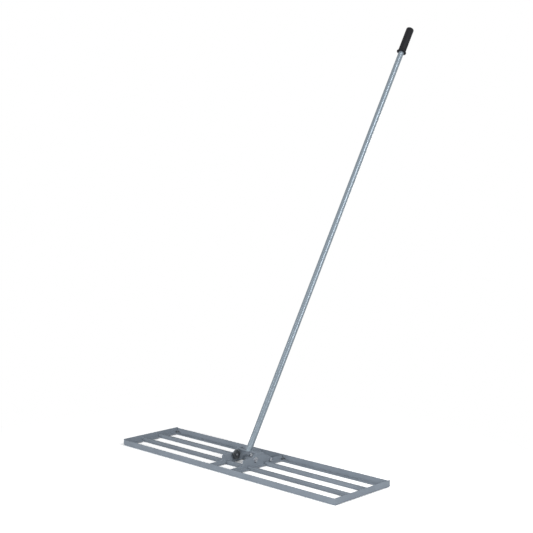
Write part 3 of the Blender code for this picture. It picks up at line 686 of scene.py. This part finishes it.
def moulded_plastic(name):
    """Black moulding with a fine spark-eroded grain and slightly polished high spots."""
    material, shader, place = start_material(name, KNOB_COLOUR, 0.0, KNOB_ROUGHNESS)
    grain = noise(material, place, KNOB_GRAIN_SCALE, 2.0)
    cloud = noise(material, place, KNOB_CLOUD_SCALE, 2.0)
    vary(material, cloud, KNOB_SMOOTHEST, KNOB_ROUGHEST, shader.inputs["Roughness"])
    vary(material, cloud, 0.0, 1.0, tint(material, shader, KNOB_COLOUR, KNOB_TINT))
    bump(material, shader, grain, KNOB_GRAIN_DEPTH)
    return material


def star_knob(node_name):
    """Rows round the axis from bore to rim and back; the rim swings with five times the angle."""
    low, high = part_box(node_name)
    thickness = high.x - low.x
    seat = (low.x, (low.y + high.y) / 2, high.z - KNOB_RADIUS)
    lobes = np.cos(KNOB_LOBES * (round_angles(KNOB_COLUMNS) - QUARTER_TURN))
    rim = KNOB_RADIUS - KNOB_LOBE_DEPTH / 2 * (1 - lobes)
    rows = [
        (KNOB_BORE, KNOB_BORE_EASE),
        (KNOB_BORE + KNOB_BORE_EASE, 0.0),
        (KNOB_HUB_RADIUS - KNOB_HUB_FACE_INSET, 0.0),
        (KNOB_HUB_RADIUS, KNOB_HUB_EASE),
        (KNOB_HUB_RADIUS + KNOB_HUB_EASE, KNOB_HUB_STAND),
    ]
    for turn in np.linspace(-QUARTER_TURN, QUARTER_TURN, KNOB_ROUNDING_STEPS):
        inset = KNOB_ROUNDING * (1 - abs(math.sin(turn)))
        height = KNOB_HUB_STAND + inset if turn < 0 else thickness - inset
        rows.append((rim - KNOB_ROUNDING * (1 - math.cos(turn)), height))
    face = thickness - KNOB_BOSS_FACE_DROP
    rows += [
        (rim * KNOB_DISH_START, thickness - KNOB_DISH * KNOB_DISH_START_DEPTH),
        (rim * KNOB_DISH_FLOOR, thickness - KNOB_DISH),
        (KNOB_BOSS_RADIUS + KNOB_BOSS_FOOT, thickness - KNOB_DISH),
        (KNOB_BOSS_RADIUS, thickness - KNOB_DISH * KNOB_BOSS_SHOULDER_DEPTH),
        (KNOB_BOSS_RADIUS - KNOB_BOSS_FACE_INSET, face),
        (KNOB_BORE + KNOB_BOSS_BORE_EASE, face),
        (KNOB_BORE, thickness - KNOB_BOSS_BORE_DROP),
    ]
    grid = turned(rows, seat, ALONG_X, ALONG_Y, ALONG_Z, KNOB_COLUMNS)
    return surface(node_name + "_star", grid, close_rows=True, crease=KNOB_CREASE)


finish_piece(
    star_knob("clamp_knob"), (moulded_plastic("black_moulding"),), "knob",
    ("clamp_knob",),
)


# Handle tubes.
# One inch steel tube in two lengths, in a lighter, glossier coat. The lower one is mitred and
# welded on the cross bar; a sleeve inside both and one screw at the back hold the upper one.

TUBE_COAT_COLOUR = (0.190, 0.232, 0.270)
TUBE_COAT_METALLIC = 0.40
TUBE_COAT_ROUGHNESS = 0.31
TUBE_COAT_SMOOTHEST = 0.28
TUBE_COAT_ROUGHEST = 0.34
TUBE_COAT_TINT = 0.05
DRAW_LINE_SIZE = (0.004, 0.004, 0.20)
DRAW_LINE_SCALE = 3.0
TUBE_DRIFT_SCALE = 9.0
TUBE_PEEL_SCALE = 420.0
TUBE_PEEL_DEPTH = 0.000002
TUBE_COLUMNS = 96
TUBE_CREASE = 30.0
TUBE_WALL = 0.0012
TUBE_RIM = 0.0006
JOINT_GAP = 0.0003
HANDLE_LEAN = math.atan(0.597)
HANDLE_AXIS = np.array([0.0, math.sin(HANDLE_LEAN), math.cos(HANDLE_LEAN)])
HANDLE_BACK = np.array([0.0, math.cos(HANDLE_LEAN), -math.sin(HANDLE_LEAN)])
FOOT_BEAD_RADIUS = 0.0019
FOOT_BEAD_STAND = 0.0002
FOOT_BEAD_FRONT_MARGIN = 0.0006
FOOT_BEAD_REAR_MARGIN = 0.0004
FOOT_BEAD_POINTS = 60


def tube_coat(name):
    """Gloss silver coat on drawn tube: faint draw lines along the axis under a smooth skin."""
    material, shader, place = start_material(
        name, TUBE_COAT_COLOUR, TUBE_COAT_METALLIC, TUBE_COAT_ROUGHNESS
    )
    lay = add_node(material, "ShaderNodeMapping", vector_type="TEXTURE")
    lay.inputs["Rotation"].default_value = (-HANDLE_LEAN, 0.0, 0.0)
    lay.inputs["Scale"].default_value = DRAW_LINE_SIZE
    join(material, place, lay.inputs["Vector"])
    lines = noise(material, lay.outputs["Vector"], DRAW_LINE_SCALE, 3.0)
    drift = noise(material, place, TUBE_DRIFT_SCALE, 2.0)
    peel = noise(material, place, TUBE_PEEL_SCALE, 1.0)
    vary(material, lines, 0.0, 1.0, tint(material, shader, TUBE_COAT_COLOUR, TUBE_COAT_TINT))
    vary(material, drift, TUBE_COAT_SMOOTHEST, TUBE_COAT_ROUGHEST, shader.inputs["Roughness"])
    bump(material, shader, peel, TUBE_PEEL_DEPTH)
    return material


TUBE_COAT = tube_coat("silver_tube_coat")
foot_low, foot_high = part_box("lower_tube")
TUBE_RADIUS = (foot_high.x - foot_low.x) / 2
TUBE_BORE = TUBE_RADIUS - TUBE_WALL
FOOT_Y = foot_low.y + TUBE_RADIUS / math.cos(HANDLE_LEAN)
FOOT = np.array([0.0, FOOT_Y, foot_low.z])


def length_along(node_name):
    """How far a turned node reaches up the handle's axis: its highest point is its rim's front."""
    low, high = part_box(node_name)
    radius = (high.x - low.x) / 2
    return (high.z - foot_low.z - radius * math.sin(HANDLE_LEAN)) / math.cos(HANDLE_LEAN)


def handle_grid(rows):
    """Rows of (radius, distance up the axis) set round the handle's axis from its foot."""
    return turned(rows, FOOT, HANDLE_AXIS, ALONG_X, HANDLE_BACK, TUBE_COLUMNS)


def mitre(radius):
    """How far up the tube the level cut is at each angle: radius times sine times tangent."""
    return radius * np.sin(round_angles(TUBE_COLUMNS)) * math.tan(HANDLE_LEAN)


def drawn_tube(node_name, lower_rim, top):
    """Outer wall up from the given lower rim, a rounded upper rim, and the inner wall down."""
    rows = lower_rim + [
        (TUBE_RADIUS, top - TUBE_RIM),
        (TUBE_RADIUS - TUBE_RIM, top),
        (TUBE_BORE, top),
    ]
    tube = surface(node_name + "_drawn", handle_grid(rows), close_rows=True, crease=TUBE_CREASE)
    finish_piece(tube, (TUBE_COAT,), "handle", (node_name,))


lower_top = length_along("lower_tube")
upper_bottom = lower_top + JOINT_GAP
upper_top = length_along("upper_tube")
mitred_rim = [(TUBE_BORE, mitre(TUBE_BORE)), (TUBE_RADIUS, mitre(TUBE_RADIUS))]
rounded_rim = [
    (TUBE_BORE, upper_bottom),
    (TUBE_RADIUS - TUBE_RIM, upper_bottom),
    (TUBE_RADIUS, upper_bottom + TUBE_RIM),
]
drawn_tube("lower_tube", mitred_rim, lower_top)
drawn_tube("upper_tube", rounded_rim, upper_top)

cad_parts["joint_sleeve"].data.materials.clear()
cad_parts["joint_sleeve"].data.materials.append(ZINC)


def foot_bead_path():
    """The back of the mitred foot on the cross bar: half an ellipse just outside the tube."""
    edge = (bar_low.y + FOOT_BEAD_FRONT_MARGIN - FOOT_Y) / (TUBE_RADIUS / math.cos(HANDLE_LEAN))
    first = math.asin(edge)
    angle = np.linspace(first, math.pi - first, FOOT_BEAD_POINTS)
    radius = TUBE_RADIUS + FOOT_BEAD_STAND
    x = radius * np.cos(angle)
    y = FOOT_Y + radius / math.cos(HANDLE_LEAN) * np.sin(angle)
    y = np.minimum(y, bar_high.y - FOOT_BEAD_REAR_MARGIN)
    return np.stack([x, y, np.full(angle.shape, bar_high.z + FOOT_BEAD_STAND)], axis=1)


foot_bead = weld_bead("foot_weld", foot_bead_path(), FOOT_BEAD_RADIUS)
finish_piece(foot_bead, (TUBE_COAT,), "handle", ())


# Joint screw.
# A small pan head screw, zinc plated, through the upper tube into the sleeve at the back.

SCREW_HEAD_RADIUS = 0.0045
SCREW_HEAD_HEIGHT = 0.0022
SCREW_HEAD_EASE = 0.0002
SCREW_HEAD_EASE_HEIGHT = 0.0003
SCREW_DOME = ((0.94, 0.50), (0.78, 0.82), (0.52, 1.00))
SCREW_RADIUS = 0.0025
SCREW_SHANK = 0.0040
SCREW_SOCKET_WIDTH = 0.0030
SCREW_SOCKET_DEPTH = 0.0010
SCREW_SOCKET_TAPER = 0.95
SCREW_SEAT_GAP = 0.0001
SCREW_CREASE = 40.0


def pan_screw(node_name):
    """Short shank, domed head and hexagon socket, pointing out of the back of the tube."""
    low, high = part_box(node_name)
    socket = hexagon(SCREW_SOCKET_WIDTH)
    socket_floor = SCREW_HEAD_HEIGHT - SCREW_SOCKET_DEPTH
    rows = [
        (0.0, -SCREW_SHANK),
        (SCREW_RADIUS, -SCREW_SHANK),
        (SCREW_RADIUS, 0.0),
        (SCREW_HEAD_RADIUS - SCREW_HEAD_EASE, 0.0),
        (SCREW_HEAD_RADIUS, SCREW_HEAD_EASE_HEIGHT),
    ]
    rows += [(SCREW_HEAD_RADIUS * out, SCREW_HEAD_HEIGHT * up) for out, up in SCREW_DOME]
    rows += [
        (socket + EDGE_BREAK, SCREW_HEAD_HEIGHT),
        (socket, SCREW_HEAD_HEIGHT - EDGE_BREAK),
        (socket * SCREW_SOCKET_TAPER, socket_floor),
        (0.0, socket_floor),
    ]
    along = float((np.array((low + high) / 2) - FOOT) @ HANDLE_AXIS)
    seat = FOOT + HANDLE_AXIS * along + HANDLE_BACK * (TUBE_RADIUS + SCREW_SEAT_GAP)
    side = np.cross(HANDLE_AXIS, HANDLE_BACK)
    grid = turned(rows, seat, HANDLE_BACK, side, HANDLE_AXIS, BOLT_COLUMNS)
    return surface(node_name + "_pan_head", grid, crease=SCREW_CREASE)


finish_piece(pan_screw("joint_screw"), (ZINC,), "handle", ("joint_screw",))


# Grip.
# A sleeve of black rubber pushed over the tube's end: closed and rounded at the top, with a thin
# flange at the bottom and a fine moulded texture.

GRIP_COLOUR = (0.0085, 0.0088, 0.0115)
GRIP_GLOSS = 0.15
GRIP_ROUGHNESS = 0.58
GRIP_SMOOTHEST = 0.48
GRIP_ROUGHEST = 0.66
GRIP_TINT = 0.25
GRIP_PEBBLE_SCALE = 1500.0
GRIP_PEBBLE_DEPTH = 0.00005
GRIP_DRIFT_SCALE = 70.0
GRIP_LENGTH = 0.134
GRIP_BARREL_RADIUS = 0.01775
GRIP_END_WALL = 0.00335
GRIP_END_RADIUS = 0.006
GRIP_END_STEPS = 9
GRIP_DIMPLE_RIM = 0.42
GRIP_DIMPLE_FLOOR = 0.38
GRIP_DIMPLE_DEPTH = 0.0004
GRIP_BORE_EASE = 0.0004
GRIP_BORE_CLEARANCE = 0.00005
GRIP_FLANGE = 0.004
GRIP_FLANGE_STEPS = 13
GRIP_FILLET = 0.0022
GRIP_FILLET_STEPS = 7
GRIP_RING_FROM_END = 0.013
GRIP_RING_DEPTH = 0.0005
GRIP_RING_WIDTH = 0.0016
GRIP_RING_STEPS = 13
GRIP_CREASE = 50.0


def grip_rubber(name):
    """Matt rubber: a pebbled skin of half a millimetre and a dusty drift in its gloss."""
    material, shader, place = start_material(name, GRIP_COLOUR, 0.0, GRIP_ROUGHNESS)
    shader.inputs["Specular IOR Level"].default_value = GRIP_GLOSS
    pebble = add_node(material, "ShaderNodeTexVoronoi", scale=GRIP_PEBBLE_SCALE)
    join(material, place, pebble.inputs["Vector"])
    drift = noise(material, place, GRIP_DRIFT_SCALE, 3.0)
    vary(material, drift, GRIP_SMOOTHEST, GRIP_ROUGHEST, shader.inputs["Roughness"])
    vary(material, drift, 0.0, 1.0, tint(material, shader, GRIP_COLOUR, GRIP_TINT))
    bump(material, shader, pebble.outputs["Distance"], GRIP_PEBBLE_DEPTH)
    return material


def moulded_grip(node_name):
    """Bore, rolled flange, fillet, the barrel with a shallow ring near each end, and the crown."""
    low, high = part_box(node_name)
    flange = (high.x - low.x) / 2
    roll = GRIP_FLANGE / 2
    seat = upper_top + JOINT_GAP
    top = seat + GRIP_END_WALL
    bottom = top - GRIP_LENGTH
    bore = TUBE_RADIUS + GRIP_BORE_CLEARANCE
    barrel = GRIP_BARREL_RADIUS
    rows = [
        (0.0, seat),
        (bore, seat),
        (bore, bottom + GRIP_BORE_EASE),
        (bore + GRIP_BORE_EASE, bottom),
    ]
    for turn in np.linspace(-QUARTER_TURN, QUARTER_TURN, GRIP_FLANGE_STEPS):
        rows.append((flange - roll * (1 - math.cos(turn)), bottom + roll * (1 + math.sin(turn))))
    for turn in np.linspace(0.0, QUARTER_TURN, GRIP_FILLET_STEPS):
        rows.append((
            barrel + GRIP_FILLET * (1 - math.sin(turn)),
            bottom + GRIP_FLANGE + GRIP_FILLET * (1 - math.cos(turn)),
        ))
    for ring in (bottom + GRIP_RING_FROM_END, top - GRIP_RING_FROM_END):
        for share in np.linspace(0.0, 1.0, GRIP_RING_STEPS):
            dip = GRIP_RING_DEPTH / 2 * (1 - math.cos(2 * math.pi * share))
            rows.append((barrel - dip, ring + GRIP_RING_WIDTH * share))
    for turn in np.linspace(0.0, QUARTER_TURN, GRIP_END_STEPS):
        rows.append((
            barrel - GRIP_END_RADIUS * (1 - math.cos(turn)),
            top - GRIP_END_RADIUS * (1 - math.sin(turn)),
        ))
    rows += [
        (barrel * GRIP_DIMPLE_RIM, top),
        (barrel * GRIP_DIMPLE_FLOOR, top - GRIP_DIMPLE_DEPTH),
        (0.0, top - GRIP_DIMPLE_DEPTH),
    ]
    return surface(node_name + "_moulded", handle_grid(rows), crease=GRIP_CREASE)


finish_piece(
    moulded_grip("grip"), (grip_rubber("black_rubber"),), "handle", ("grip",)
)


# Floor, light and camera.
# A plain white floor keeps the rake's soft shadow and fades into white. The sky is even, with a
# broad low light and a small high one in front, fills behind and right, and strips for the tube.

FLOOR_SIZE = 18.0
FLOOR_DROP = 0.0002
FLOOR_COLOUR = (0.80, 0.80, 0.80)
FLOOR_SEEN_COLOUR = (1.62, 1.62, 1.62)
FLOOR_FADE_START = 0.75
FLOOR_FADE_END = 1.3
SKY_LEVEL = 0.26
WHITE = (1.0, 1.0, 1.0, 1.0)
CAMERA_PLACE = (2.817227, -2.560377, 1.083488)
CAMERA_HEADING = 0.784015
CAMERA_DIP = 0.072788
CAMERA_ROLL = -0.006969
CAMERA_FOCAL_PIXELS = 985.391
CAMERA_NEAR = 0.05
PHOTO_WIDTH = 533
SENSOR_WIDTH = 36.0


def seen_directly(owner):
    """1 for rays that show a surface or the world to the camera, straight or in a reflection."""
    path = add_node(owner, "ShaderNodeLightPath")
    seen = path.outputs["Is Camera Ray"]
    for ray in ("Is Glossy Ray", "Is Transmission Ray"):
        either = add_node(owner, "ShaderNodeMath", operation="MAXIMUM")
        join(owner, seen, either.inputs[0])
        join(owner, path.outputs[ray], either.inputs[1])
        seen = either.outputs[0]
    return seen


def mix_shaders(material, share, first, second):
    """The first shader where the share is 0, and the second where it is 1."""
    mix = add_node(material, "ShaderNodeMixShader")
    for socket, source in zip(mix.inputs, (share, first, second)):
        join(material, source, socket)
    return mix.outputs[0]


def floor_paint(material, colour):
    """Plain matt paint of one colour."""
    paint = add_node(material, "ShaderNodeBsdfDiffuse")
    paint.inputs["Color"].default_value = (*colour, 1.0)
    return paint.outputs[0]


def studio_floor():
    """A white floor: plain paint as it lights the rake; as seen, lifted to white away from it."""
    material = bpy.data.materials.new("studio_floor")
    material.use_nodes = True
    material.node_tree.nodes.clear()
    place = add_node(material, "ShaderNodeTexCoord")
    distance = add_node(material, "ShaderNodeVectorMath", operation="LENGTH")
    join(material, place.outputs["Object"], distance.inputs[0])
    fade = add_node(
        material, "ShaderNodeMapRange", interpolation_type="SMOOTHSTEP",
        from_min=FLOOR_FADE_START, from_max=FLOOR_FADE_END,
    )
    join(material, distance.outputs["Value"], fade.inputs["Value"])
    white = add_node(material, "ShaderNodeEmission").outputs[0]
    near = floor_paint(material, FLOOR_SEEN_COLOUR)
    seen = mix_shaders(material, fade.outputs["Result"], near, white)
    unseen = floor_paint(material, FLOOR_COLOUR)
    output = add_node(material, "ShaderNodeOutputMaterial")
    skin = mix_shaders(material, seen_directly(material), unseen, seen)
    join(material, skin, output.inputs["Surface"])
    return material


half_floor = FLOOR_SIZE / 2
floor_corners = [
    (x * half_floor, y * half_floor, -FLOOR_DROP) for x, y in ((-1, -1), (1, -1), (1, 1), (-1, 1))
]
floor_mesh = bpy.data.meshes.new("floor")
floor_mesh.from_pydata(floor_corners, [], [(0, 1, 2, 3)])
floor_mesh.materials.append(studio_floor())
floor = bpy.data.objects.new("floor", floor_mesh)
bpy.context.scene.collection.objects.link(floor)

world = bpy.data.worlds.new("white_surround")
bpy.context.scene.world = world
world.use_nodes = True
background = world.node_tree.nodes["Background"]
background.inputs["Color"].default_value = WHITE
level = add_node(world, "ShaderNodeMapRange", to_min=SKY_LEVEL, to_max=1.0)
join(world, seen_directly(world), level.inputs["Value"])
join(world, level.outputs["Result"], background.inputs["Strength"])


def area_light(name, place, target, width, height, watts):
    """A rectangular lamp at a place, turned to face a target, its height upright."""
    lamp = bpy.data.lights.new(name, "AREA")
    lamp.shape = "RECTANGLE"
    lamp.size = width
    lamp.size_y = height
    lamp.energy = watts
    holder = bpy.data.objects.new(name, lamp)
    bpy.context.scene.collection.objects.link(holder)
    holder.location = place
    aim = np.asarray(target, float) - np.asarray(place, float)
    heading = math.atan2(-aim[0], aim[1])
    rise = math.atan2(aim[2], math.hypot(aim[0], aim[1]))
    holder.rotation_euler = (QUARTER_TURN + rise, 0.0, heading)


area_light("front_broad", (0.6, -6.5, 1.7), (0.0, 0.1, 0.1), 5.0, 2.6, 285.0)
area_light("back_fill", (-2.5, 5.5, 0.9), (0.0, 0.2, 0.1), 3.0, 1.2, 60.0)
area_light("right_near", (2.4, -1.2, 0.7), (0.2, 0.1, 0.0), 0.9, 0.6, 10.0)
area_light("right_strip", (2.6, 0.6, 2.4), (0.0, 0.75, 1.1), 0.22, 3.2, 66.0)
area_light("left_strip", (-1.15, -2.7, 2.5), (0.0, 0.25, 0.25), 0.16, 1.0, 9.0)
area_light("front_high", (-0.3, -1.75, 2.6), (0.0, 0.2, 0.2), 0.25, 0.25, 3.0)

camera = bpy.data.objects.new("camera", bpy.data.cameras.new("camera"))
bpy.context.scene.collection.objects.link(camera)
camera.matrix_world = (
    Matrix.Translation(CAMERA_PLACE)
    @ Matrix.Rotation(CAMERA_HEADING, 4, "Z")
    @ Matrix.Rotation(QUARTER_TURN - CAMERA_DIP, 4, "X")
    @ Matrix.Rotation(CAMERA_ROLL, 4, "Z")
)
camera.data.sensor_width = SENSOR_WIDTH
camera.data.lens = CAMERA_FOCAL_PIXELS * SENSOR_WIDTH / PHOTO_WIDTH
camera.data.clip_start = CAMERA_NEAR
bpy.context.scene.camera = camera
bpy.context.scene.view_settings.view_transform = "Standard"
